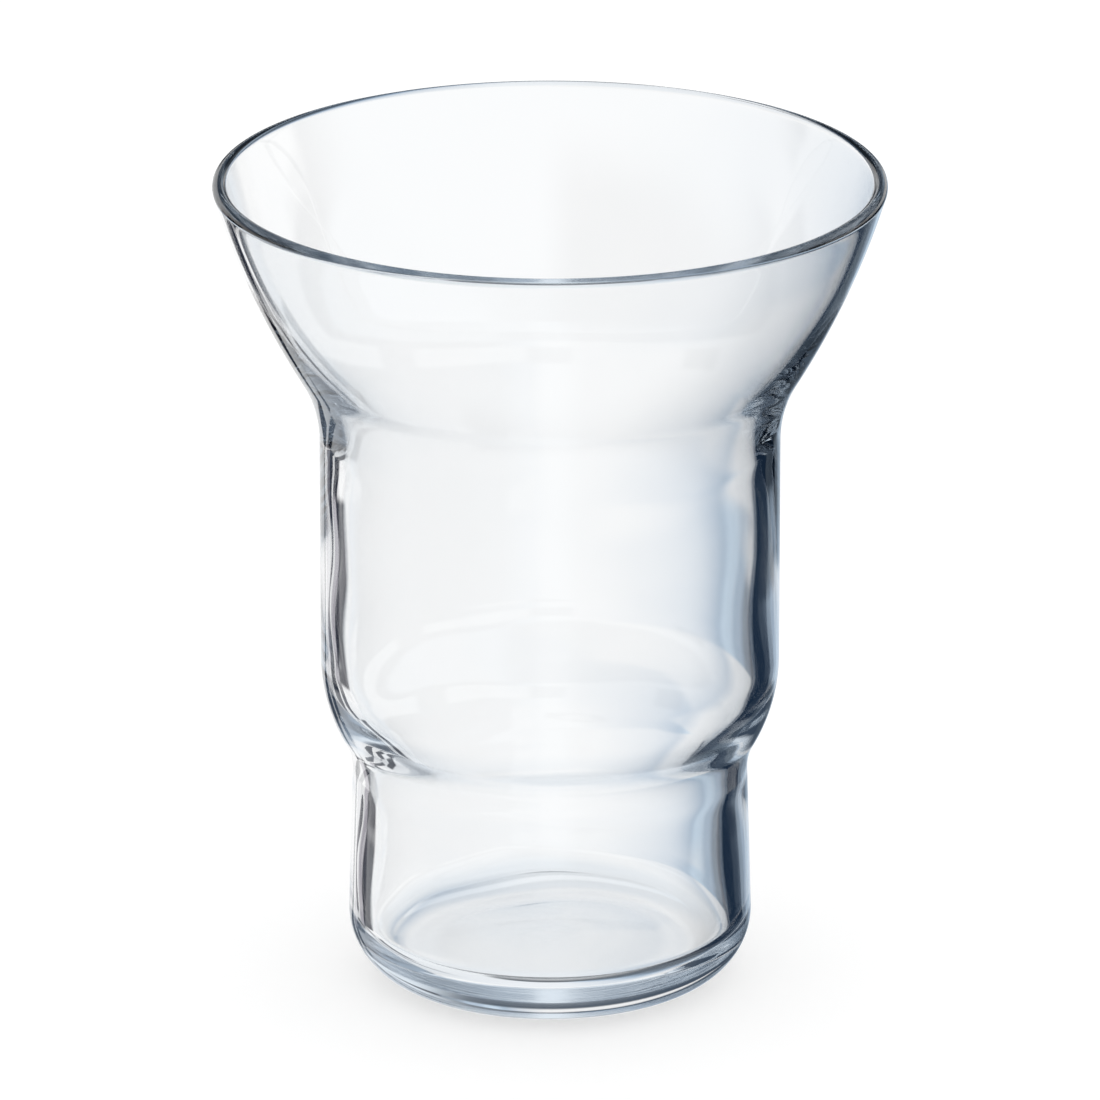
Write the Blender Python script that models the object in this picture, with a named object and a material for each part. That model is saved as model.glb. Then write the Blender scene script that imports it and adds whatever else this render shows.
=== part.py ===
"""Highball glass: a flared and stepped tumbler of clear blown glass, turned from one profile.

Units are metres, +Z is up, and the origin is the middle of the standing ring, on the table.

The mould gives the outside its form. The inside follows it at the thickness of the wall, which is
thinnest in the flare, swells evenly down to the barrel, is thickest at the step, where the barrel
turns in to the foot, and ends in a small corner over an almost flat floor.
"""
import math

import bpy

MM = 0.001

# Overall size
HEIGHT = 122.0 * MM
RIM_RADIUS = 48.8 * MM
LIP_RADIUS = 1.05 * MM

# Outside, with slopes measured from the vertical
FLARE_LIP_SLOPE = math.radians(16.6)
FLARE_FOOT_SLOPE = math.radians(31.1)
FLARE_FILLET = 20.3 * MM
BARREL_RADIUS = 33.55 * MM
SHOULDER_HEIGHT = 49.0 * MM
SHOULDER_RADIUS = 24.5 * MM
SHOULDER_SLOPE = math.radians(29.4)
WAIST_FILLET = 11.0 * MM
FOOT_TAPER = math.radians(1.73)
HEEL_RADIUS = 9.7 * MM

# Thickness of the wall, and the heights of the outside where each thickness is reached
FOOT_WALL = 3.6 * MM
FOOT_WALL_TOP = 29.5 * MM
STEP_WALL = 4.05 * MM
STEP_WALL_HEIGHT = 36.5 * MM
BARREL_WALL = 3.5 * MM
BARREL_WALL_FOOT = 45.0 * MM
BARREL_WALL_TOP = 68.0 * MM
FLARE_WALL = 1.95 * MM
FLARE_WALL_HEIGHT = 107.0 * MM
WALL_SOFTNESS = 0.3

# Floor of the inside
CORNER_RADIUS = 3.5 * MM
FLOOR_HEIGHT = 6.5 * MM
FLOOR_DISH = 0.1 * MM

# Underside
STANDING_RING_WIDTH = 3.0 * MM
PUSH_UP = 0.4 * MM

# Fineness of the turned body: how far a facet may stand off its arc, and the steps along and round
ARC_ERROR = 0.035 * MM
STRAIGHT_STEP = 5.0 * MM
DISH_STEPS = 4
TURN_STEPS = 64
MERGE_DISTANCE = 0.00001

# Clear glass with a faint cool tint
GLASS_COLOUR = (0.93, 0.96, 0.97, 1.0)
GLASS_ROUGHNESS = 0.02
GLASS_IOR = 1.52

QUARTER_TURN = math.pi / 2
LIP_CENTRE = (RIM_RADIUS - LIP_RADIUS, HEIGHT - LIP_RADIUS)


def along(point, distance, angle):
    """The point at a distance from another, with the angle measured from outwards to upwards."""
    return (point[0] + distance * math.cos(angle), point[1] + distance * math.sin(angle))


def arc_angles(radius, start, end):
    """Angles of the points along a circular arc of the profile, both ends included."""
    widest_step = 2 * math.acos(1 - ARC_ERROR / radius)
    steps = math.ceil(abs(end - start) / widest_step)
    return [start + (end - start) * i / steps for i in range(steps + 1)]


def arc(centre, radius, start, end):
    """Points along a circular arc of the profile, both ends included."""
    return [along(centre, radius, angle) for angle in arc_angles(radius, start, end)]


def bulge(centre, radius, start, end):
    """Points and outward directions along an arc that bulges outwards."""
    return [(along(centre, radius, angle), angle) for angle in arc_angles(radius, start, end)]


def hollow(centre, radius, start, end):
    """Points and outward directions along an arc whose centre lies outside the glass."""
    return [(along(centre, -radius, angle), angle) for angle in arc_angles(radius, start, end)]


def straight(start, end):
    """Points and outward directions along a straight stretch, without its ends."""
    (first, facing), (last, _) = start, end
    steps = math.ceil(math.dist(first, last) / STRAIGHT_STEP)
    shares = [i / steps for i in range(1, steps)]
    return [((first[0] + (last[0] - first[0]) * share, first[1] + (last[1] - first[1]) * share), facing)
            for share in shares]


def dish(edge, rise):
    """Points of a shallow bowl from its edge to the axis, rising by the given height."""
    shares = [1 - i / DISH_STEPS for i in range(DISH_STEPS + 1)]
    return [(edge[0] * share, edge[1] + rise * (1 - share * share)) for share in shares]


def outside_course():
    """Points and outward directions of the outside, from the lip down to the standing ring."""
    lip_point = along(LIP_CENTRE, LIP_RADIUS, -FLARE_LIP_SLOPE)
    reach = lip_point[0] - BARREL_RADIUS - FLARE_FILLET * (1 - math.cos(FLARE_FOOT_SLOPE))
    flare_radius = reach / (math.cos(FLARE_LIP_SLOPE) - math.cos(FLARE_FOOT_SLOPE))
    flare_centre = along(lip_point, -flare_radius, -FLARE_LIP_SLOPE)
    fillet_centre = along(flare_centre, flare_radius + FLARE_FILLET, -FLARE_FOOT_SLOPE)
    flare = bulge(flare_centre, flare_radius, -FLARE_LIP_SLOPE, -FLARE_FOOT_SLOPE)
    flare += hollow(fillet_centre, FLARE_FILLET, -FLARE_FOOT_SLOPE, 0.0)[1:]
    shoulder_centre = (BARREL_RADIUS - SHOULDER_RADIUS, SHOULDER_HEIGHT)
    waist_centre = along(shoulder_centre, SHOULDER_RADIUS + WAIST_FILLET, -SHOULDER_SLOPE)
    step = bulge(shoulder_centre, SHOULDER_RADIUS, 0.0, -SHOULDER_SLOPE)
    step += hollow(waist_centre, WAIST_FILLET, -SHOULDER_SLOPE, FOOT_TAPER)[1:]
    waist_radius, waist_height = step[-1][0]
    heel_top = HEEL_RADIUS * (1 + math.sin(FOOT_TAPER))
    foot_radius = waist_radius + (waist_height - heel_top) * math.tan(FOOT_TAPER)
    heel_centre = along((foot_radius, heel_top), -HEEL_RADIUS, FOOT_TAPER)
    heel = bulge(heel_centre, HEEL_RADIUS, FOOT_TAPER, -QUARTER_TURN)
    return flare + straight(flare[-1], step[0]) + step + straight(step[-1], heel[0]) + heel


def ease(share):
    """An even rise from 0 to 1 with a soft start and end."""
    share = min(max(share, 0.0), 1.0)
    speed = 1 / (1 - WALL_SOFTNESS)
    if share < WALL_SOFTNESS:
        return speed * share * share / (2 * WALL_SOFTNESS)
    if share > 1 - WALL_SOFTNESS:
        return 1 - speed * (1 - share) ** 2 / (2 * WALL_SOFTNESS)
    return speed * (share - WALL_SOFTNESS / 2)


def wall_at(height):
    """Thickness of the wall at a height of the outside."""
    knots = (
        (FOOT_WALL_TOP, FOOT_WALL),
        (STEP_WALL_HEIGHT, STEP_WALL),
        (BARREL_WALL_FOOT, BARREL_WALL),
        (BARREL_WALL_TOP, BARREL_WALL),
        (FLARE_WALL_HEIGHT, FLARE_WALL),
        (LIP_CENTRE[1], 2 * LIP_RADIUS),
    )
    wall = FOOT_WALL
    for (low, start), (high, end) in zip(knots, knots[1:]):
        wall += (end - start) * ease((height - low) / (high - low))
    return wall


def inside_line(course):
    """Inside of the glass, from the lip down to the middle of the floor."""
    line = []
    for point, facing in course:
        inner = along(point, -wall_at(point[1]), facing)
        if inner[1] < FLOOR_HEIGHT + CORNER_RADIUS:
            break
        line.append(inner)
    lean = math.atan2(line[-1][0] - line[-2][0], line[-2][1] - line[-1][1])
    corner_height = FLOOR_HEIGHT + CORNER_RADIUS * (1 + math.sin(lean))
    corner_point = along(line[-1], (line[-1][1] - corner_height) / math.cos(lean), lean - QUARTER_TURN)
    corner_centre = along(corner_point, -CORNER_RADIUS, lean)
    line += arc(corner_centre, CORNER_RADIUS, lean, -QUARTER_TURN)
    return line[:-1] + dish(line[-1], -FLOOR_DISH)


def lip_line():
    """Round lip, from the inside over the crown and the widest point to the outside."""
    line = arc(LIP_CENTRE, LIP_RADIUS, math.pi - FLARE_LIP_SLOPE, QUARTER_TURN)
    line += arc(LIP_CENTRE, LIP_RADIUS, QUARTER_TURN, 0.0)[1:]
    return line + arc(LIP_CENTRE, LIP_RADIUS, 0.0, -FLARE_LIP_SLOPE)[1:]


def underside_line(ring_edge):
    """Underside of the glass, from the standing ring's inner edge to the axis."""
    return dish((ring_edge[0] - STANDING_RING_WIDTH, 0.0), PUSH_UP)


def glass_profile():
    """The whole half section: up the inside, over the lip, down the outside and in underneath."""
    course = outside_course()
    inside = inside_line(course)
    inside.reverse()
    outside = [point for point, _ in course]
    return inside + lip_line()[1:-1] + outside + underside_line(outside[-1])


def glass_material():
    """Clear, smooth, faintly cool glass."""
    material = bpy.data.materials.new("clear_glass")
    material.use_nodes = True
    shader = material.node_tree.nodes["Principled BSDF"]
    shader.inputs["Base Color"].default_value = GLASS_COLOUR
    shader.inputs["Roughness"].default_value = GLASS_ROUGHNESS
    shader.inputs["Metallic"].default_value = 0.0
    shader.inputs["IOR"].default_value = GLASS_IOR
    shader.inputs["Transmission Weight"].default_value = 1.0
    return material


def turned_body(name, profile, material):
    """A closed body made by turning a half section, drawn at +X, once round the Z axis."""
    mesh = bpy.data.meshes.new(name)
    points = [(radius, 0.0, height) for radius, height in profile]
    edges = [(i, i + 1) for i in range(len(points) - 1)]
    mesh.from_pydata(points, edges, [])
    mesh.materials.append(material)
    body = bpy.data.objects.new(name, mesh)
    bpy.context.scene.collection.objects.link(body)
    turn = body.modifiers.new("turn", "SCREW")
    turn.axis = "Z"
    turn.angle = 2 * math.pi
    turn.steps = TURN_STEPS
    turn.render_steps = TURN_STEPS
    turn.use_merge_vertices = True
    turn.merge_threshold = MERGE_DISTANCE
    turn.use_smooth_shade = True
    return body


def main():
    for leftover in list(bpy.data.objects):
        bpy.data.objects.remove(leftover)
    turned_body("glass_body", glass_profile(), glass_material())


main()
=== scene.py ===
"""Highball glass, dressed for its picture: a finely turned tumbler of clear blown glass.

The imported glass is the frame. One fine body stands for it, with the same outside and wall, and an
inside that is slightly wavy, as blowing leaves it. It stands on a white table in a soft studio,
where dark flags at the sides draw the dark lines along its edges.
"""
import math

import bpy
from bpy.props import FloatProperty, FloatVectorProperty, IntProperty, PointerProperty
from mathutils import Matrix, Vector


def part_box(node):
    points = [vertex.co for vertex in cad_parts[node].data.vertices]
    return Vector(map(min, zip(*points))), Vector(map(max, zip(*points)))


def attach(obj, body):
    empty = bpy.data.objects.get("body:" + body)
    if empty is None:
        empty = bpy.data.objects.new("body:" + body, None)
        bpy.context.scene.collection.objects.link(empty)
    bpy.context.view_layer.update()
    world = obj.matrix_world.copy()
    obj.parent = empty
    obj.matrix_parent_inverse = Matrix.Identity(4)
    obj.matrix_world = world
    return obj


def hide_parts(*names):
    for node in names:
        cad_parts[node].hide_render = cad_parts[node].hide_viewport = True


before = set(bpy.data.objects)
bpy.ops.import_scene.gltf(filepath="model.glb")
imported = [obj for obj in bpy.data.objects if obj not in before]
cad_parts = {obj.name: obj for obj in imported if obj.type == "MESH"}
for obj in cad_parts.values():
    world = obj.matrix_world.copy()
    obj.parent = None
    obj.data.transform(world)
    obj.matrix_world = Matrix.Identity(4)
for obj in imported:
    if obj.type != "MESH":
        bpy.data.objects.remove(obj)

bl_info = {
    "name": "Highball Glass",
    "version": (1, 0, 0),
    "blender": (4, 5, 0),
    "location": "View3D > Sidebar > Glass",
    "description": "Turns a clear stepped highball glass and sets the studio it stands in",
    "category": "Add Mesh",
}

MM = 0.001
QUARTER_TURN = math.pi / 2

# Sizes that come from the frame
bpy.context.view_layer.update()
LOWEST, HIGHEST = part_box("glass_body")
HEIGHT = HIGHEST[2] - LOWEST[2]
RIM_RADIUS = (HIGHEST[0] - LOWEST[0]) / 2


def length(label, description, default):
    """A length that a user can change, given in metres."""
    return FloatProperty(name=label, description=description, default=default, unit="LENGTH", precision=4)


def angle(label, description, degrees):
    """An angle that a user can change, given in degrees."""
    return FloatProperty(name=label, description=description, default=math.radians(degrees),
                         unit="ROTATION")


def colour(label, description, default):
    """A colour that a user can change."""
    return FloatVectorProperty(name=label, description=description, default=default, size=3,
                               subtype="COLOR", min=0.0, max=1.0)


def share(label, description, default):
    """A plain share from 0 to 1 that a user can change."""
    return FloatProperty(name=label, description=description, default=default, subtype="FACTOR",
                         min=0.0, max=1.0)


class GlassOutside(bpy.types.PropertyGroup):
    """Sizes of the outside, as the mould shapes it. Slopes are measured from the vertical."""
    height: length("Height", "From the table to the crown of the lip", HEIGHT)
    rim_radius: length("Rim Radius", "Radius at the widest point of the lip", RIM_RADIUS)
    lip_radius: length("Lip Radius", "Radius of the round lip", 1.05 * MM)
    lip_slope: angle("Lip Slope", "Slope of the flare at the lip", 16.6)
    flare_slope: angle("Flare Slope", "Slope of the flare just above its fillet", 31.1)
    flare_fillet: length("Flare Fillet", "Radius from the flare to the barrel", 20.3 * MM)
    barrel_radius: length("Barrel Radius", "Radius of the upright barrel", 33.55 * MM)
    shoulder_height: length("Shoulder Height", "Where the barrel starts to turn in", 49.0 * MM)
    shoulder_radius: length("Shoulder Radius", "Radius of the round shoulder", 24.5 * MM)
    shoulder_slope: angle("Shoulder Slope", "Steepest slope of the shoulder", 29.4)
    waist_fillet: length("Waist Fillet", "Radius from the shoulder to the foot", 11.0 * MM)
    foot_taper: angle("Foot Taper", "How the foot widens downwards", 1.73)
    heel_radius: length("Heel Radius", "Radius of the rounded heel", 9.7 * MM)
    ring_width: length("Standing Ring Width", "Width of the flat ring it stands on", 3.0 * MM)
    push_up: length("Push-up", "How far the underside rises inside the ring", 0.4 * MM)


class GlassInside(bpy.types.PropertyGroup):
    """Sizes of the inside, which follows the outside at the thickness of the wall."""
    thin_wall: length("Thin Wall", "Wall of the flare where it is thinnest", 1.95 * MM)
    thin_height: length("Thin Height", "Height where the flare is thinnest", 107.0 * MM)
    swell_height: length("Swell Height", "Height where the wall has swollen to the barrel's", 68.0 * MM)
    barrel_wall: length("Barrel Wall", "Wall of the barrel", 3.5 * MM)
    barrel_height: length("Barrel Height", "Height down to which the barrel's wall is even", 45.0 * MM)
    step_wall: length("Step Wall", "Wall at the step", 4.05 * MM)
    step_height: length("Step Height", "Height of the outside where the step's wall is reached", 36.5 * MM)
    foot_wall: length("Foot Wall", "Wall of the foot", 3.6 * MM)
    foot_height: length("Foot Height", "Height of the outside where the foot's wall is reached", 29.5 * MM)
    corner_radius: length("Corner Radius", "Radius between the wall and the floor", 3.5 * MM)
    floor_height: length("Floor Height", "Height of the inside floor at its edge", 6.5 * MM)
    floor_dish: length("Floor Dish", "How far the floor dips in the middle", 0.1 * MM)
    wave_depth: length("Wave Depth", "How far the wavy inside wanders in and out", 0.16 * MM)
    ripple_depth: length("Ripple Depth", "Depth of the soft rings on the floor", 0.015 * MM)
    ripple_spacing: length("Ripple Spacing", "Distance between the rings on the floor", 5.0 * MM)


class GlassFinish(bpy.types.PropertyGroup):
    """Clear glass."""
    tint: colour("Tint", "Colour that white light takes on", (0.985, 0.991, 0.994))
    handled_tint: colour("Handled Tint", "Colour where the surface is a little less clear",
                         (0.965, 0.975, 0.980))
    polish: share("Polish Roughness", "Roughness of the fire-polished surface", 0.0)
    smudge: share("Smudge Roughness", "Roughness where it has been handled", 0.012)
    swell: length("Surface Swell", "Height of the slow swell of the surface", 0.004 * MM)


class Studio(bpy.types.PropertyGroup):
    """The white table, the dark flags and the camera."""
    table_colour: colour("Table", "Colour of the table", (0.62, 0.62, 0.62))
    backdrop_colour: colour("Backdrop", "Colour behind the glass", (1.0, 1.0, 1.0))
    haze_colour: colour("Haze", "Colour of the cool shade right of the backdrop", (0.44, 0.55, 0.68))
    card_colour: colour("Card", "Colour of the light card in that shade", (0.60, 0.73, 0.86))
    lilac_colour: colour("Lilac", "Colour of the half shade round the left flag", (0.52, 0.50, 0.54))
    flag_colour: colour("Flags", "Colour of the dark flags", (0.025, 0.028, 0.042))
    night_colour: colour("Night", "Colour of the dark on the far right", (0.010, 0.022, 0.045))
    dusk_colour: colour("Dusk", "Colour of the low shade on the right", (0.085, 0.11, 0.14))
    # Painted shade: the glass sees the table close under itself darkened by this colour, standing in for the
    # table's shade
    painted_table_shade_colour: colour("Table Below", "Colour of the table close under the glass", (0.87, 0.90, 0.93))
    # Painted shadow: the near-black colour that the glass sees right under itself stands in for the table's
    # contact shadow
    painted_contact_shadow_colour: colour("Underneath", "Colour right underneath the glass", (0.02, 0.035, 0.055))
    room_colour: colour("Room", "Colour of the pale side of the room", (0.72, 0.80, 0.88))
    back_colour: colour("Dark Room", "Colour of the dark side of the room, behind the camera",
                        (0.05, 0.072, 0.105))
    ceiling_colour: colour("Ceiling", "Colour of the room above the flags", (0.07, 0.095, 0.13))
    overhead_colour: colour("Overhead", "Colour of the soft light overhead", (0.78, 0.83, 0.88))
    shadow_colour: colour("Shadow", "Colour of the light that the glass passes on to the table",
                          (0.94, 0.95, 0.96))
    camera_azimuth: angle("Camera Azimuth", "Where the camera stands round the glass", 45.0)
    camera_elevation: angle("Camera Elevation", "How far the camera looks down", 19.2)
    camera_distance: length("Camera Distance", "From the camera to the glass", 1.746)
    camera_target: length("Camera Target", "Height of the point it looks at", 65.02 * MM)
    camera_lens: FloatProperty(name="Lens", description="Focal length in millimetres", default=391.5,
                               min=1.0)


class GlassScene(bpy.types.PropertyGroup):
    """Everything that a user would change."""
    outside: PointerProperty(type=GlassOutside)
    inside: PointerProperty(type=GlassInside)
    finish: PointerProperty(type=GlassFinish)
    studio: PointerProperty(type=Studio)
    turn_steps: IntProperty(name="Turn Steps", description="Faces round the glass", default=248, min=16)


# Fineness of the profile
LONGEST_STEP = 1.0 * MM
WIDEST_STEP = math.radians(4.0)
STEP_SLACK = 0.01

# Slow waves of the inside: times round the glass, height of one wave, start and share of the depth
WAVES = (
    (2, 62.0 * MM, 0.6, 0.40),
    (3, -34.0 * MM, 2.2, 0.35),
    (5, 21.0 * MM, 4.1, 0.25),
)
WAVE_LIP_FADE = 60.0 * MM
WAVE_AXIS_FADE = 24.0 * MM
RIPPLE_CENTRE = (1.5 * MM, -2.0 * MM)
RIPPLE_REACH = 17.0 * MM


def along(point, distance, direction):
    """The point at a distance from another, with the direction measured from outwards to upwards."""
    return (point[0] + distance * math.cos(direction), point[1] + distance * math.sin(direction))


def arc(centre, radius, start, end):
    """Points along a circular arc of the profile, both ends included."""
    sweep = abs(end - start)
    steps = max(math.ceil(sweep / WIDEST_STEP), math.ceil(sweep * radius / LONGEST_STEP))
    return [along(centre, radius, start + (end - start) * i / steps) for i in range(steps + 1)]


def dish(edge, rise):
    """Points of a shallow bowl from its edge to the axis, rising by the given height."""
    steps = math.ceil(edge[0] / LONGEST_STEP)
    shares = [1 - i / steps for i in range(steps + 1)]
    return [(edge[0] * part, edge[1] + rise * (1 - part * part)) for part in shares]


def filled(points):
    """The same line with its long straight stretches split into short steps."""
    line = [points[0]]
    for start, end in zip(points, points[1:]):
        steps = math.ceil(math.dist(start, end) / LONGEST_STEP - STEP_SLACK)
        for i in range(1, steps + 1):
            radius = start[0] + (end[0] - start[0]) * i / steps
            height = start[1] + (end[1] - start[1]) * i / steps
            line.append((radius, height))
    return line


def lip_centre(out):
    """Centre of the round lip in the profile."""
    return (out.rim_radius - out.lip_radius, out.height - out.lip_radius)


def bulge(centre, radius, start, end):
    """Points and outward directions along an arc that bulges outwards."""
    return [(point, math.atan2(point[1] - centre[1], point[0] - centre[0]))
            for point in arc(centre, radius, start, end)]


def hollow(centre, radius, start, end):
    """Points and outward directions along an arc that is hollow outside, given as for a bulge."""
    return [(point, math.atan2(centre[1] - point[1], centre[0] - point[0]))
            for point in arc(centre, radius, start + math.pi, end + math.pi)]


def straight(start, end):
    """Points and outward directions along a straight stretch, without its ends."""
    (first, facing), (last, _) = start, end
    steps = math.ceil(math.dist(first, last) / LONGEST_STEP)
    shares = [i / steps for i in range(1, steps)]
    return [((first[0] + (last[0] - first[0]) * part, first[1] + (last[1] - first[1]) * part), facing)
            for part in shares]


def outside_course(out):
    """Points and outward directions of the outside, from the lip down to the standing ring's outer edge."""
    lip_point = along(lip_centre(out), out.lip_radius, -out.lip_slope)
    reach = lip_point[0] - out.barrel_radius - out.flare_fillet * (1 - math.cos(out.flare_slope))
    radius = reach / (math.cos(out.lip_slope) - math.cos(out.flare_slope))
    centre = along(lip_point, radius, math.pi - out.lip_slope)
    fillet_centre = along(centre, radius + out.flare_fillet, -out.flare_slope)
    flare = bulge(centre, radius, -out.lip_slope, -out.flare_slope)
    flare += hollow(fillet_centre, out.flare_fillet, -out.flare_slope, 0.0)[1:]
    shoulder_centre = (out.barrel_radius - out.shoulder_radius, out.shoulder_height)
    waist_centre = along(shoulder_centre, out.shoulder_radius + out.waist_fillet, -out.shoulder_slope)
    step = bulge(shoulder_centre, out.shoulder_radius, 0.0, -out.shoulder_slope)
    step += hollow(waist_centre, out.waist_fillet, -out.shoulder_slope, out.foot_taper)[1:]
    waist_radius, waist_height = step[-1][0]
    heel_top = out.heel_radius * (1 + math.sin(out.foot_taper))
    foot_radius = waist_radius + (waist_height - heel_top) * math.tan(out.foot_taper)
    heel_centre = along((foot_radius, heel_top), out.heel_radius, math.pi + out.foot_taper)
    heel = bulge(heel_centre, out.heel_radius, out.foot_taper, -QUARTER_TURN)
    return flare + straight(flare[-1], step[0]) + step + straight(step[-1], heel[0]) + heel


EASE_SHARE = 0.3


def ease(part):
    """An even rise from 0 to 1 with a soft start and end."""
    part = min(max(part, 0.0), 1.0)
    speed = 1 / (1 - EASE_SHARE)
    if part < EASE_SHARE:
        return speed * part * part / (2 * EASE_SHARE)
    if part > 1 - EASE_SHARE:
        return 1 - speed * (1 - part) ** 2 / (2 * EASE_SHARE)
    return speed * (part - EASE_SHARE / 2)


def wall_at(out, bore, height):
    """Thickness of the wall at a height of the outside."""
    knots = (
        (bore.foot_height, bore.foot_wall),
        (bore.step_height, bore.step_wall),
        (bore.barrel_height, bore.barrel_wall),
        (bore.swell_height, bore.barrel_wall),
        (bore.thin_height, bore.thin_wall),
        (lip_centre(out)[1], 2 * out.lip_radius),
    )
    wall = knots[0][1]
    for (low, start), (high, end) in zip(knots, knots[1:]):
        wall += (end - start) * ease((height - low) / (high - low))
    return wall


def inside_line(out, bore):
    """Inside of the glass, from the lip down to the middle of the floor."""
    line = []
    for point, facing in outside_course(out):
        inner = along(point, -wall_at(out, bore, point[1]), facing)
        if inner[1] < bore.floor_height + bore.corner_radius:
            break
        line.append(inner)
    run = math.dist(line[-2], line[-1])
    lean = math.asin((line[-1][0] - line[-2][0]) / run)
    corner_height = bore.floor_height + bore.corner_radius * (1 + math.sin(lean))
    corner_point = along(line[-1], (line[-1][1] - corner_height) / math.cos(lean), lean - QUARTER_TURN)
    corner_centre = along(corner_point, bore.corner_radius, math.pi + lean)
    line += arc(corner_centre, bore.corner_radius, lean, -QUARTER_TURN)
    return line[:-1] + dish(line[-1], -bore.floor_dish)


def underside_line(out, ring_edge):
    """Underside of the glass, from the standing ring's inner edge to the axis."""
    return dish((ring_edge[0] - out.ring_width, 0.0), out.push_up)


def fade(value, width):
    """A smooth rise from 0 to 1 over a width."""
    part = min(max(value / width, 0.0), 1.0)
    return part * part * (3 - 2 * part)


def inside_lift(out, bore, point):
    """How far the wavy inside stands off its turned form at a point, into the hollow."""
    x, y, z = point
    radius = math.hypot(x, y)
    turn = math.atan2(y, x)
    wave = sum(part * math.cos(times * turn + 2 * math.pi * z / rise + start)
               for times, rise, start, part in WAVES)
    wave *= fade(out.height - z, WAVE_LIP_FADE) * fade(radius, WAVE_AXIS_FADE)
    from_ripple = math.dist((x, y), RIPPLE_CENTRE)
    ripple = math.cos(2 * math.pi * from_ripple / bore.ripple_spacing)
    ripple *= fade(RIPPLE_REACH - from_ripple, RIPPLE_REACH)
    if z > bore.floor_height + bore.corner_radius:
        ripple = 0.0
    return bore.wave_depth * wave + bore.ripple_depth * ripple


def profile_normals(line):
    """Unit normals of a profile that runs up the inside, pointing into the hollow."""
    normals = []
    for i in range(len(line)):
        before = line[max(i - 1, 0)]
        after = line[min(i + 1, len(line) - 1)]
        run = math.dist(before, after)
        normals.append(((before[1] - after[1]) / run, (after[0] - before[0]) / run))
    return normals


def turned_vertices(line, steps, lift=None):
    """Rings of vertices of a profile turned round the axis, one vertex where it meets the axis."""
    rings = []
    normals = profile_normals(line)
    for (radius, height), (outwards, upwards) in zip(line, normals):
        ring = []
        count = 1 if radius == 0.0 else steps
        for i in range(count):
            turn = 2 * math.pi * i / steps
            point = Vector((radius * math.cos(turn), radius * math.sin(turn), height))
            if lift:
                off = lift(point)
                point += off * Vector((outwards * math.cos(turn), outwards * math.sin(turn), upwards))
            ring.append(point)
        rings.append(ring)
    return rings


def ring_faces(rings):
    """Faces between rings of vertices, with fans where a ring is a single vertex."""
    firsts = [0]
    for ring in rings:
        firsts.append(firsts[-1] + len(ring))
    faces = []
    for i in range(len(rings) - 1):
        low = firsts[i]
        high = firsts[i + 1]
        steps = max(len(rings[i]), len(rings[i + 1]))
        for j in range(steps):
            k = (j + 1) % steps
            if len(rings[i]) == 1:
                faces.append((low, high + j, high + k))
            elif len(rings[i + 1]) == 1:
                faces.append((low + j, high, low + k))
            else:
                faces.append((low + j, high + j, high + k, low + k))
    return faces


def glass_mesh(settings):
    """The fine closed mesh of the whole glass."""
    out = settings.outside
    bore = settings.inside
    inside = filled(inside_line(out, bore))
    inside.reverse()
    outside = [point for point, _ in outside_course(out)]
    lip = arc(lip_centre(out), out.lip_radius, math.pi - out.lip_slope, QUARTER_TURN)
    lip += arc(lip_centre(out), out.lip_radius, QUARTER_TURN, -out.lip_slope)[1:]
    shell = filled(lip[1:-1] + outside + underside_line(out, outside[-1]))
    rings = turned_vertices(inside, settings.turn_steps, lambda point: inside_lift(out, bore, point))
    rings += turned_vertices(shell, settings.turn_steps)
    mesh = bpy.data.meshes.new("turned_glass")
    mesh.from_pydata([point for ring in rings for point in ring], [], ring_faces(rings))
    mesh.shade_smooth()
    return mesh


def add_node(tree, kind, place, **values):
    """A new node of a tree at a place, with its properties set."""
    node = tree.nodes.new(kind)
    node.location = place
    for name, value in values.items():
        setattr(node, name, value)
    return node


def math_node(tree, operation, place, first, second=None):
    """A math node fed by sockets or plain numbers. Returns its output."""
    node = add_node(tree, "ShaderNodeMath", place, operation=operation)
    for socket, source in zip(node.inputs, (first, second)):
        if isinstance(source, bpy.types.NodeSocket):
            tree.links.new(source, socket)
        elif source is not None:
            socket.default_value = source
    return node.outputs["Value"]


# Sockets of a mix node that mixes colours
MIX_FIRST = 6
MIX_SECOND = 7
MIX_RESULT = 2


def mixed_colour(tree, place, factor, first, second):
    """A mix of two colours by a factor, each a socket or a plain value. Returns its output."""
    node = add_node(tree, "ShaderNodeMix", place, data_type="RGBA")
    if isinstance(factor, bpy.types.NodeSocket):
        tree.links.new(factor, node.inputs["Factor"])
    else:
        node.inputs["Factor"].default_value = factor
    for socket, source in ((node.inputs[MIX_FIRST], first), (node.inputs[MIX_SECOND], second)):
        if isinstance(source, bpy.types.NodeSocket):
            tree.links.new(source, socket)
        else:
            socket.default_value = (*source, 1.0)
    return node.outputs[MIX_RESULT]


# Fineness of the handled patches and of the swell, and the part of the patches that shows
PATCH_SCALE = 38.0
PATCH_DETAIL = 3.0
PATCH_RANGE = (0.52, 0.78)
SWELL_SCALE = 85.0


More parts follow.
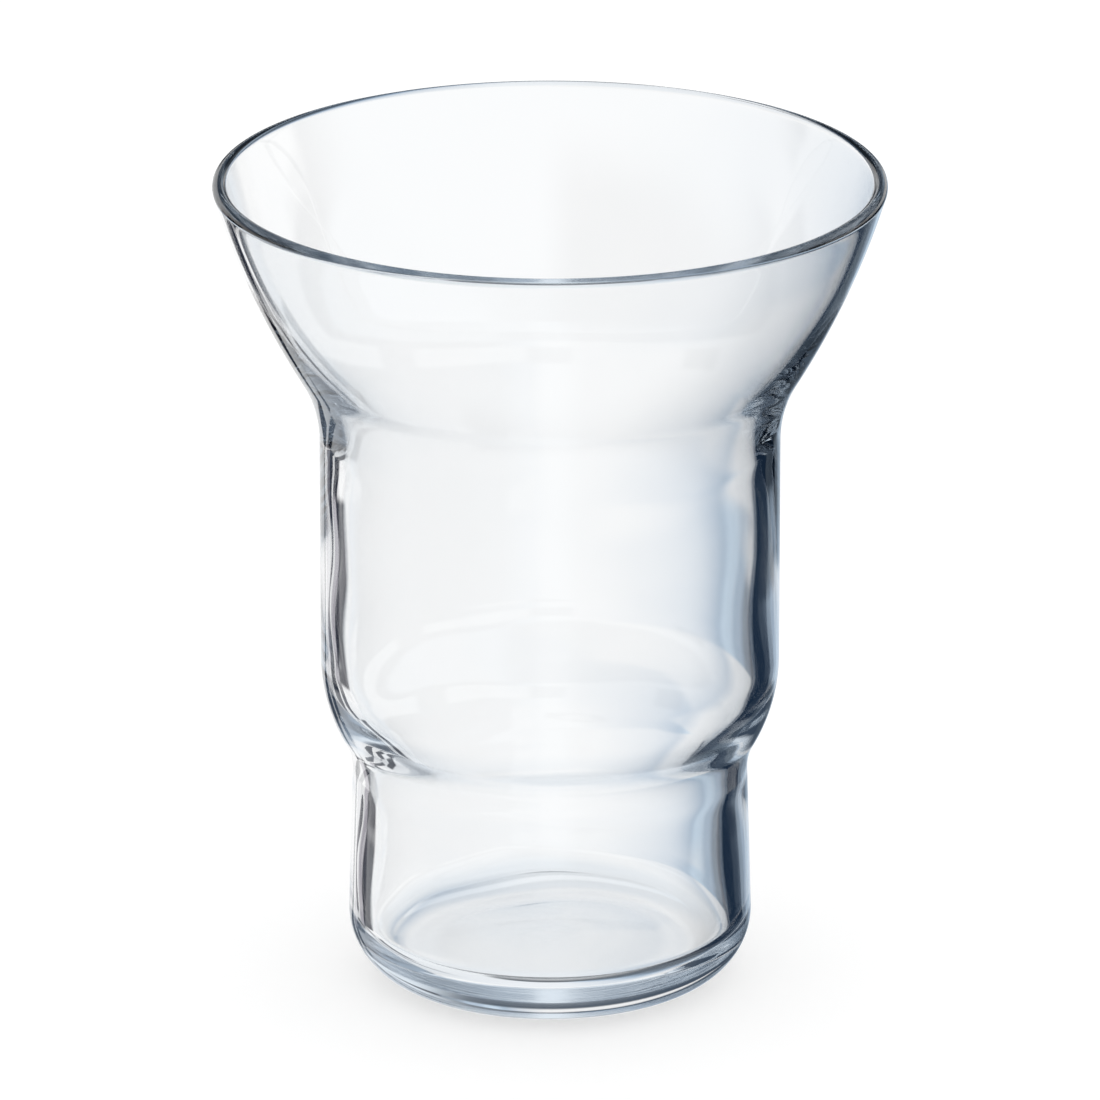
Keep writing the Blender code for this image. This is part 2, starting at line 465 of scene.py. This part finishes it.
def fire_polish_group():
    """Node group of a fire-polished surface: where it has been handled, and its slow swell."""
    group = bpy.data.node_groups.new("fire_polish", "ShaderNodeTree")
    group.interface.new_socket("Clear Tint", in_out="INPUT", socket_type="NodeSocketColor")
    group.interface.new_socket("Handled Tint", in_out="INPUT", socket_type="NodeSocketColor")
    group.interface.new_socket("Polish", in_out="INPUT", socket_type="NodeSocketFloat")
    group.interface.new_socket("Smudge", in_out="INPUT", socket_type="NodeSocketFloat")
    group.interface.new_socket("Tint", in_out="OUTPUT", socket_type="NodeSocketColor")
    group.interface.new_socket("Roughness", in_out="OUTPUT", socket_type="NodeSocketFloat")
    group.interface.new_socket("Swell", in_out="OUTPUT", socket_type="NodeSocketFloat")
    entry = add_node(group, "NodeGroupInput", (-900, 0))
    leave = add_node(group, "NodeGroupOutput", (500, 0))
    place = add_node(group, "ShaderNodeTexCoord", (-900, -300))
    patches = add_node(group, "ShaderNodeTexNoise", (-650, -200))
    patches.inputs["Scale"].default_value = PATCH_SCALE
    patches.inputs["Detail"].default_value = PATCH_DETAIL
    swell = add_node(group, "ShaderNodeTexNoise", (-650, -450))
    swell.inputs["Scale"].default_value = SWELL_SCALE
    swell.inputs["Detail"].default_value = 0.0
    group.links.new(place.outputs["Object"], patches.inputs["Vector"])
    group.links.new(place.outputs["Object"], swell.inputs["Vector"])
    handled = add_node(group, "ShaderNodeMapRange", (-400, -200))
    handled.inputs["From Min"].default_value = PATCH_RANGE[0]
    handled.inputs["From Max"].default_value = PATCH_RANGE[1]
    group.links.new(patches.outputs["Fac"], handled.inputs["Value"])
    tint = mixed_colour(group, (-100, 150), handled.outputs["Result"], entry.outputs["Clear Tint"],
                        entry.outputs["Handled Tint"])
    rough = add_node(group, "ShaderNodeMapRange", (-100, -100))
    group.links.new(handled.outputs["Result"], rough.inputs["Value"])
    group.links.new(entry.outputs["Polish"], rough.inputs["To Min"])
    group.links.new(entry.outputs["Smudge"], rough.inputs["To Max"])
    group.links.new(tint, leave.inputs["Tint"])
    group.links.new(rough.outputs["Result"], leave.inputs["Roughness"])
    group.links.new(swell.outputs["Fac"], leave.inputs["Swell"])
    return group


GLASS_IOR = 1.52


def glass_material(finish):
    """Clear blown glass, fire-polished, with faint handling marks and a slow swell."""
    material = bpy.data.materials.new("clear_glass")
    material.use_nodes = True
    tree = material.node_tree
    shader = tree.nodes["Principled BSDF"]
    shader.inputs["Metallic"].default_value = 0.0
    shader.inputs["IOR"].default_value = GLASS_IOR
    shader.inputs["Transmission Weight"].default_value = 1.0
    surface = add_node(tree, "ShaderNodeGroup", (-600, 200), node_tree=fire_polish_group())
    surface.inputs["Clear Tint"].default_value = (*finish.tint, 1.0)
    surface.inputs["Handled Tint"].default_value = (*finish.handled_tint, 1.0)
    surface.inputs["Polish"].default_value = finish.polish
    surface.inputs["Smudge"].default_value = finish.smudge
    bump = add_node(tree, "ShaderNodeBump", (-300, -200))
    bump.inputs["Strength"].default_value = 1.0
    bump.inputs["Distance"].default_value = finish.swell
    tree.links.new(surface.outputs["Tint"], shader.inputs["Base Color"])
    tree.links.new(surface.outputs["Roughness"], shader.inputs["Roughness"])
    tree.links.new(surface.outputs["Swell"], bump.inputs["Height"])
    tree.links.new(bump.outputs["Normal"], shader.inputs["Normal"])
    return material


class GLASS_OT_turn_body(bpy.types.Operator):
    """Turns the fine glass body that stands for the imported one"""
    bl_idname = "glass.turn_body"
    bl_label = "Glass Body"

    def execute(self, context):
        settings = context.scene.glass
        body = bpy.data.objects.new("turned_glass", glass_mesh(settings))
        context.scene.collection.objects.link(body)
        body.data.materials.append(glass_material(settings.finish))
        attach(body, "root")
        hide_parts("glass_body")
        return {"FINISHED"}


# Angles in degrees: sideways from the camera's line, left below zero, and heights from the level
SIDE_ANGLE = 90.0
LEFT_FLAG_LEVEL = -19.0
LEFT_FLAG_SLANT = 0.7
LEFT_FLAG_FOOT = (-46.0, -49.0)
HALF_SHADE_FOOT = (-21.2, -22.6)
LOW_FLAG_TOP = (-31.5, -33.0)
LOW_FLAG_LEFT = (-56.0, -53.0)
LOW_FLAG_RIGHT = (-44.5, -46.5)
BLADE_SLANT = 0.45
BLADE_LOW_EDGE = (-38.2, -37.4)
BLADE_HIGH_EDGE = (-29.6, -30.3)
BLADE_LEFT_END = (-26.4, -25.6)
BLADE_RIGHT_END = (-15.5, -17.0)
RIGHT_CARD_FOOT = (-21.0, -23.0)
HOLLOW_CARD_FOOT = (-20.3, -21.6)
SPREAD_HEIGHTS = (-34.0, -56.0)
SPREAD_SHARES = (1.1, 0.45)
# Heights over which the painted table shade comes in as the glass looks further down
SHADED_TABLE_HEIGHTS = (-24.0, -36.0)
# Heights below which the glass sees the painted contact shadow, through the floor and under the wall
SHADOW_UNDER_FLOOR_HEIGHTS = (-50.0, -52.5)
SHADOW_UNDER_WALL_HEIGHTS = (-69.0, -75.0)
CEILING_HEIGHTS = (13.0, 17.0)
OVERHEAD_HEIGHTS = (46.0, 62.0)
BEHIND_HEIGHTS = (-18.5, -16.5)
DARK_ROOM_HEIGHTS = (18.0, 32.0)
LEVEL_BAND = (9.0, 6.0)
LEVEL_FLAGS = 4.0
LEVEL_FLAG_EDGE = (0.5, 0.8)
BLUR_HEIGHTS = (34.0, 44.0)

# Parts of the turned direction: where the room gets paler to the right, and where it is behind the camera
CEILING_SIDES = (0.28, 0.6)
ROOM_SIDES = (-0.2, 0.1)
BEHIND_EDGE = (0.3, -0.3)

# Counts of a ray: any at all, surfaces crossed on a way through the hollow, and a long way in the glass
ONE_OR_MORE = 0.5
HOLLOW_CROSSED = 3.5
LONG_PATH = (6.0, 7.5)


def left_stops(studio):
    """Angles and colours from the far left to the backdrop, past the left flag and its half shade."""
    return (
        (-49.0, studio.backdrop_colour),
        (-47.0, studio.flag_colour),
        (-35.6, studio.flag_colour),
        (-34.9, studio.lilac_colour),
        (-29.5, studio.lilac_colour),
        (-28.6, studio.backdrop_colour),
    )


def middle_left_stops(studio):
    """Angles and colours from the far left to the backdrop, past the upright strip under the left flag."""
    return (
        (-35.2, studio.backdrop_colour),
        (-34.4, studio.flag_colour),
        (-29.2, studio.flag_colour),
        (-28.5, studio.backdrop_colour),
    )


def low_left_stops(studio):
    """Angles and colours from the far left to the backdrop, past the narrow foot of the left flag."""
    return (
        (-36.8, studio.backdrop_colour),
        (-36.0, studio.flag_colour),
        (-32.6, studio.flag_colour),
        (-31.8, studio.backdrop_colour),
    )


def right_stops(studio):
    """Angles and colours from the backdrop to the dark right, past the light card."""
    backdrop = Vector(studio.backdrop_colour)
    haze = Vector(studio.haze_colour)
    card = Vector(studio.card_colour)
    night = Vector(studio.night_colour)
    return (
        (1.0, backdrop),
        (7.0, haze.lerp(backdrop, 0.5)),
        (11.0, haze),
        (12.5, card),
        (15.0, card),
        (17.0, haze),
        (20.5, haze),
        (23.5, 0.55 * haze),
        (28.5, 0.5 * haze),
        (30.0, night),
    )


def low_right_stops(studio):
    """Angles and colours from the backdrop to the dark right, below the light card."""
    backdrop = Vector(studio.backdrop_colour)
    haze = Vector(studio.haze_colour)
    dusk = Vector(studio.dusk_colour)
    return (
        (2.0, backdrop),
        (7.0, haze.lerp(backdrop, 0.6)),
        (9.5, haze),
        (12.0, haze.lerp(dusk, 0.6)),
        (16.0, dusk),
        (28.5, 0.8 * dusk),
        (30.0, studio.night_colour),
    )


def hollow_right_stops(studio):
    """Angles and colours on the right, below the light card, for a ray through the hollow."""
    backdrop = Vector(studio.backdrop_colour)
    haze = Vector(studio.haze_colour)
    return (
        (2.0, backdrop),
        (7.0, haze.lerp(backdrop, 0.7)),
        (10.5, haze.lerp(backdrop, 0.35)),
        (13.5, haze.lerp(backdrop, 0.85)),
        (27.0, haze.lerp(backdrop, 0.85)),
        (31.0, studio.night_colour),
    )


RAMP_MIDDLE = 0.5


def colour_ramp(tree, place, factor, stops, lowest, highest):
    """A ramp whose stops are given as angles between a lowest and a highest one. Returns its output."""
    node = add_node(tree, "ShaderNodeValToRGB", place)
    elements = node.color_ramp.elements
    while len(elements) < len(stops):
        elements.new(1.0)
    for element, (position, shade) in zip(elements, stops):
        element.position = (position - lowest) / (highest - lowest)
        element.color = (*shade, 1.0)
    tree.links.new(factor, node.inputs["Fac"])
    return node.outputs["Color"]


def angle_ramp(tree, place, side, stops):
    """A ramp of colours by a sideways angle, given in degrees. Returns its output."""
    across = math_node(tree, "MULTIPLY_ADD", place, side, RAMP_MIDDLE / SIDE_ANGLE)
    across.node.inputs[2].default_value = RAMP_MIDDLE
    return colour_ramp(tree, (place[0] + 200, place[1]), across, stops, -SIDE_ANGLE, SIDE_ANGLE)


def rise_between(tree, place, value, ends, shares=(0.0, 1.0), smooth=True):
    """A rise from one share to another as a value goes between two ends. Returns its output."""
    kind = "SMOOTHSTEP" if smooth else "LINEAR"
    node = add_node(tree, "ShaderNodeMapRange", place, interpolation_type=kind)
    node.inputs["From Min"].default_value, node.inputs["From Max"].default_value = ends
    node.inputs["To Min"].default_value, node.inputs["To Max"].default_value = shares
    tree.links.new(value, node.inputs["Value"])
    return node.outputs["Result"]


def studio_angles(tree, studio):
    """Folded sideways angle and height in degrees, the parts of the turned direction, and its turn."""
    direction = add_node(tree, "ShaderNodeTexCoord", (-2600, 0)).outputs["Generated"]
    turned = add_node(tree, "ShaderNodeVectorRotate", (-2400, 0), rotation_type="Z_AXIS")
    turned.inputs["Angle"].default_value = -studio.camera_azimuth
    tree.links.new(direction, turned.inputs["Vector"])
    parts = add_node(tree, "ShaderNodeSeparateXYZ", (-2200, 0)).outputs
    tree.links.new(turned.outputs["Vector"], parts["X"].node.inputs["Vector"])
    away = math_node(tree, "ABSOLUTE", (-2000, -100), parts["Y"])
    side = math_node(tree, "ARCTAN2", (-1800, 0), parts["X"], away)
    height = math_node(tree, "ARCSINE", (-1800, -300), parts["Z"])
    turn = math_node(tree, "ARCTAN2", (-1800, -500), parts["X"], parts["Y"])
    side = math_node(tree, "DEGREES", (-1600, 0), side)
    height = math_node(tree, "DEGREES", (-1600, -300), height)
    return side, height, parts, turn


def slanted_angle(tree, place, value, slant, base):
    """A base angle that moves on with another angle times a slant. Returns its output."""
    result = math_node(tree, "MULTIPLY_ADD", place, value, slant)
    tree.links.new(base, result.node.inputs[2])
    return result


def product(tree, place, factors):
    """Factors multiplied together. Returns the last output."""
    result = factors[0]
    for i, factor in enumerate(factors[1:]):
        result = math_node(tree, "MULTIPLY", (place[0] + 200 * i, place[1]), result, factor)
    return result


def left_side(tree, studio, side, height, crossings):
    """Colours left of the camera's line: the flag with its half shade and foot, and the slanted blade."""
    below = math_node(tree, "SUBTRACT", (-1400, 900), height, LEFT_FLAG_LEVEL)
    slanted = slanted_angle(tree, (-1200, 900), below, LEFT_FLAG_SLANT, side)
    shaded = angle_ramp(tree, (-1000, 1000), slanted, left_stops(studio))
    upright = angle_ramp(tree, (-1000, 750), side, middle_left_stops(studio))
    narrow = angle_ramp(tree, (-1000, 500), slanted, low_left_stops(studio))
    shade_foot = rise_between(tree, (-750, 500), height, HALF_SHADE_FOOT)
    left = mixed_colour(tree, (-550, 900), shade_foot, shaded, upright)
    strip_foot = rise_between(tree, (-750, 300), height, LOW_FLAG_TOP)
    left = mixed_colour(tree, (-450, 900), strip_foot, left, narrow)
    low_flag = [
        rise_between(tree, (-1200, 2200), height, LOW_FLAG_TOP),
        rise_between(tree, (-1200, 2400), slanted, LOW_FLAG_LEFT),
        rise_between(tree, (-1200, 2600), slanted, LOW_FLAG_RIGHT),
        math_node(tree, "GREATER_THAN", (-1200, 2800), crossings, ONE_OR_MORE),
    ]
    left = mixed_colour(tree, (-350, 900), product(tree, (-900, 2400), low_flag), left, studio.flag_colour)
    foot = rise_between(tree, (-500, 650), height, LEFT_FLAG_FOOT)
    left = mixed_colour(tree, (-250, 900), foot, left, studio.backdrop_colour)
    across = slanted_angle(tree, (-1400, 1500), side, BLADE_SLANT, height)
    blade = [
        rise_between(tree, (-1200, 1300), across, BLADE_LOW_EDGE),
        rise_between(tree, (-1200, 1500), across, BLADE_HIGH_EDGE),
        rise_between(tree, (-1200, 1700), side, BLADE_LEFT_END),
        rise_between(tree, (-1200, 1900), side, BLADE_RIGHT_END),
    ]
    return mixed_colour(tree, (-100, 900), product(tree, (-900, 1500), blade), left, studio.flag_colour)


def right_side(tree, studio, side, height, low_stops, foot, place):
    """Colours right of the camera's line: the cool shade with its light card, and what lies below it."""
    left, top = place
    spread = rise_between(tree, (left, top), height, SPREAD_HEIGHTS, SPREAD_SHARES, smooth=False)
    spread_side = math_node(tree, "MULTIPLY", (left + 200, top), side, spread)
    carded = angle_ramp(tree, (left + 400, top + 150), spread_side, right_stops(studio))
    low = angle_ramp(tree, (left + 400, top - 100), spread_side, low_stops)
    below_card = rise_between(tree, (left + 700, top - 200), height, foot)
    return mixed_colour(tree, (left + 900, top), below_card, carded, low)


def both_sides(tree, studio, side, height, crossings, hollow):
    """Colours on both sides, with flags at the left only for a ray that stays in the wall."""
    left = left_side(tree, studio, side, height, crossings)
    right = right_side(tree, studio, side, height, low_right_stops(studio), RIGHT_CARD_FOOT, (-1400, 0))
    by_wall = mixed_colour(tree, (0, 500), 1.0, left, right)
    by_wall.node.blend_type = "MULTIPLY"
    low_stops = hollow_right_stops(studio)
    through = right_side(tree, studio, side, height, low_stops, HOLLOW_CARD_FOOT, (-1400, -700))
    return mixed_colour(tree, (200, 500), hollow, by_wall, through)


def below_glass(tree, studio, height, hollow, seen):
    """The colours with the pale table below them, with a painted shade of the table close under the glass
    and a painted dark shadow under the floor and under the wall.
    """
    shaded = mixed_colour(tree, (400, 200), 1.0, seen, studio.painted_table_shade_colour)
    shaded.node.blend_type = "MULTIPLY"
    # pale: how much of the painted table shade shows
    pale = rise_between(tree, (400, 0), height, SHADED_TABLE_HEIGHTS)
    seen = mixed_colour(tree, (600, 300), pale, seen, shaded)
    floor = rise_between(tree, (400, -250), height, SHADOW_UNDER_FLOOR_HEIGHTS)
    floor = math_node(tree, "MULTIPLY", (600, -250), floor, hollow)
    wall = rise_between(tree, (400, -500), height, SHADOW_UNDER_WALL_HEIGHTS)
    # under: where the painted contact shadow shows
    under = math_node(tree, "MAXIMUM", (800, -400), floor, wall)
    return mixed_colour(tree, (1000, 300), under, seen, studio.painted_contact_shadow_colour)


def above_glass(tree, studio, height, parts, seen):
    """The colours with the dark ceiling above them, paler on the right, and the soft light overhead."""
    aside = rise_between(tree, (1000, -300), parts["X"], CEILING_SIDES)
    ceiling = mixed_colour(tree, (1200, -300), aside, studio.ceiling_colour, studio.room_colour)
    overhead = product(tree, (1200, -600), [
        rise_between(tree, (1000, -600), height, OVERHEAD_HEIGHTS),
        rise_between(tree, (1000, -800), parts["X"], ROOM_SIDES),
    ])
    ceiling = mixed_colour(tree, (1400, -300), overhead, ceiling, studio.overhead_colour)
    above = rise_between(tree, (1400, -700), height, CEILING_HEIGHTS)
    return mixed_colour(tree, (1600, 100), above, seen, ceiling)


def behind_camera(tree, studio, height, parts, hollow, seen):
    """The colours with the room behind the camera, dark up on the left, for a ray in the wall."""
    shares = [
        rise_between(tree, (1600, 500), parts["Y"], BEHIND_EDGE),
        rise_between(tree, (1600, 900), height, OVERHEAD_HEIGHTS, (1.0, 0.0)),
        math_node(tree, "SUBTRACT", (1600, 1100), 1.0, hollow),
    ]
    dark = product(tree, (1700, 1300), [
        rise_between(tree, (1500, 1300), parts["X"], ROOM_SIDES, (1.0, 0.0)),
        rise_between(tree, (1500, 1500), height, DARK_ROOM_HEIGHTS),
    ])
    room = mixed_colour(tree, (1900, 1100), dark, studio.room_colour, studio.back_colour)
    high = rise_between(tree, (1600, 700), height, BEHIND_HEIGHTS)
    room = mixed_colour(tree, (2100, 1100), high, studio.backdrop_colour, room)
    return mixed_colour(tree, (2200, 100), product(tree, (1800, 600), shares), seen, room)


def level_flags(tree, studio, height, turn, seen):
    """The colours with four level flags, which show when the glass is seen from the side."""
    off_level = math_node(tree, "ABSOLUTE", (1200, -1200), height)
    band = rise_between(tree, (1400, -1200), off_level, LEVEL_BAND)
    turns = math_node(tree, "MULTIPLY", (1000, -1500), turn, LEVEL_FLAGS)
    round_about = math_node(tree, "COSINE", (1200, -1500), turns)
    flags = rise_between(tree, (1400, -1500), round_about, LEVEL_FLAG_EDGE)
    crossed = mixed_colour(tree, (1600, -1400), flags, studio.backdrop_colour, studio.flag_colour)
    return mixed_colour(tree, (1800, 0), band, seen, crossed)


COOL_SHARE = 0.7


def blur_stops(studio):
    """Sideways parts and colours of the blurred room from left to right: below and up at the ceiling."""
    cool = COOL_SHARE * Vector(studio.haze_colour)
    ahead = (
        (-0.10, studio.room_colour),
        (0.08, studio.room_colour),
        (0.20, cool),
        (0.50, cool),
        (0.75, studio.back_colour),
    )
    low = ((-0.30, studio.back_colour), *ahead)
    high = ((-0.75, studio.back_colour), (-0.55, cool), (-0.30, cool), *ahead)
    return low, high


def blurred_room(tree, studio, height, parts, reflections, seen):
    """The colours as a ray sees them that was long on its way in the glass: the room as a soft blur."""
    across = math_node(tree, "MULTIPLY_ADD", (1700, -1900), parts["X"], RAMP_MIDDLE)
    across.node.inputs[2].default_value = RAMP_MIDDLE
    low_stops, high_stops = blur_stops(studio)
    low = colour_ramp(tree, (1900, -1800), across, low_stops, -1.0, 1.0)
    high = colour_ramp(tree, (1900, -2100), across, high_stops, -1.0, 1.0)
    up = rise_between(tree, (1900, -2400), height, BLUR_HEIGHTS)
    blur = mixed_colour(tree, (2300, -700), up, low, high)
    long_path = rise_between(tree, (2300, -400), reflections, LONG_PATH)
    return mixed_colour(tree, (2500, 0), long_path, seen, blur)


def seen_by_glass(tree, studio, path):
    """Colour of the studio by direction, by the surfaces a ray has crossed and by its way in the glass."""
    side, height, parts, turn = studio_angles(tree, studio)
    crossings = path["Transmission Depth"]
    hollow = math_node(tree, "GREATER_THAN", (-1400, -1200), crossings, HOLLOW_CROSSED)
    seen = both_sides(tree, studio, side, height, crossings, hollow)
    seen = below_glass(tree, studio, height, hollow, seen)
    seen = above_glass(tree, studio, height, parts, seen)
    seen = level_flags(tree, studio, height, turn, seen)
    seen = behind_camera(tree, studio, height, parts, hollow, seen)
    return blurred_room(tree, studio, height, parts, path["Ray Depth"], seen)


def studio_world(studio):
    """White to the camera and the table. The glass also sees the flags, the room and the ceiling."""
    world = bpy.data.worlds.new("studio")
    world.use_nodes = True
    tree = world.node_tree
    tree.nodes.clear()
    path = add_node(tree, "ShaderNodeLightPath", (-200, -900)).outputs
    seen = seen_by_glass(tree, studio, path)
    from_table = math_node(tree, "GREATER_THAN", (2200, 900), path["Diffuse Depth"], ONE_OR_MORE)
    seen = mixed_colour(tree, (2400, 300), from_table, seen, studio.shadow_colour)
    by_glass = math_node(tree, "MAXIMUM", (2400, 900), path["Is Transmission Ray"], path["Is Glossy Ray"])
    shown = mixed_colour(tree, (2600, 300), by_glass, studio.backdrop_colour, seen)
    light = add_node(tree, "ShaderNodeBackground", (2800, 300))
    tree.links.new(shown, light.inputs["Color"])
    leave = add_node(tree, "ShaderNodeOutputWorld", (3000, 300))
    tree.links.new(light.outputs["Background"], leave.inputs["Surface"])
    return world


TABLE_RADIUS = 2.5
TABLE_STEPS = 96
TABLE_ROUGHNESS = 0.9
TABLE_GLOW = (0.48, 0.48, 0.48)
NO_GLOW = (0.0, 0.0, 0.0)


def table_material(studio):
    """Plain pale table, lifted to white where the camera sees it unshaded."""
    material = bpy.data.materials.new("white_table")
    material.use_nodes = True
    tree = material.node_tree
    shader = tree.nodes["Principled BSDF"]
    shader.inputs["Base Color"].default_value = (*studio.table_colour, 1.0)
    shader.inputs["Roughness"].default_value = TABLE_ROUGHNESS
    shader.inputs["Specular IOR Level"].default_value = 0.0
    path = add_node(tree, "ShaderNodeLightPath", (-500, -200))
    glow = mixed_colour(tree, (-250, -200), path.outputs["Is Camera Ray"], NO_GLOW, TABLE_GLOW)
    tree.links.new(glow, shader.inputs["Emission Color"])
    shader.inputs["Emission Strength"].default_value = 1.0
    return material


def table(studio):
    """The white table that the glass stands on. The glass shows the backdrop through itself instead."""
    mesh = bpy.data.meshes.new("white_table")
    turns = [2 * math.pi * i / TABLE_STEPS for i in range(TABLE_STEPS)]
    edge = [(TABLE_RADIUS * math.cos(turn), TABLE_RADIUS * math.sin(turn), 0.0) for turn in turns]
    mesh.from_pydata(edge, [], [tuple(range(TABLE_STEPS))])
    mesh.materials.append(table_material(studio))
    top = bpy.data.objects.new("white_table", mesh)
    top.visible_transmission = False
    top.visible_glossy = False
    return top


def studio_camera(studio):
    """The camera at the photograph's angle."""
    data = bpy.data.cameras.new("camera")
    data.lens = studio.camera_lens
    camera = bpy.data.objects.new("camera", data)
    level = math.cos(studio.camera_elevation)
    away = Vector((level * math.sin(studio.camera_azimuth), -level * math.cos(studio.camera_azimuth),
                   math.sin(studio.camera_elevation)))
    camera.location = Vector((0.0, 0.0, studio.camera_target)) + studio.camera_distance * away
    camera.rotation_euler = away.to_track_quat("Z", "Y").to_euler()
    return camera


# Light bounces that a thick glass wall needs
GLASS_BOUNCES = 64


class GLASS_OT_set_studio(bpy.types.Operator):
    """Sets the white table, the studio light and the camera"""
    bl_idname = "glass.set_studio"
    bl_label = "Studio"

    def execute(self, context):
        scene = context.scene
        studio = scene.glass.studio
        top = table(studio)
        camera = studio_camera(studio)
        for thing in (top, camera):
            scene.collection.objects.link(thing)
        scene.camera = camera
        scene.world = studio_world(studio)
        scene.view_settings.view_transform = "Standard"
        scene.cycles.max_bounces = GLASS_BOUNCES
        scene.cycles.glossy_bounces = GLASS_BOUNCES
        scene.cycles.transmission_bounces = GLASS_BOUNCES
        return {"FINISHED"}


class GLASS_PT_pieces(bpy.types.Panel):
    """Lists the glass, its studio and the sizes behind them"""
    bl_idname = "GLASS_PT_pieces"
    bl_label = "Highball Glass"
    bl_space_type = "VIEW_3D"
    bl_region_type = "UI"
    bl_category = "Glass"

    def draw(self, context):
        settings = context.scene.glass
        for operator in OPERATORS:
            self.layout.operator(operator.bl_idname)
        self.layout.prop(settings, "turn_steps")
        for group in (settings.outside, settings.inside, settings.finish, settings.studio):
            column = self.layout.column(align=True)
            for name in group.bl_rna.properties.keys():
                if name not in ("rna_type", "name"):
                    column.prop(group, name)


OPERATORS = (GLASS_OT_turn_body, GLASS_OT_set_studio)
CLASSES = (GlassOutside, GlassInside, GlassFinish, Studio, GlassScene, *OPERATORS, GLASS_PT_pieces)


def register():
    for kind in CLASSES:
        bpy.utils.register_class(kind)
    bpy.types.Scene.glass = PointerProperty(type=GlassScene)


def unregister():
    del bpy.types.Scene.glass
    for kind in reversed(CLASSES):
        bpy.utils.unregister_class(kind)


def main():
    register()
    bpy.ops.glass.turn_body()
    bpy.ops.glass.set_studio()


if __name__ == "__main__":
    main()
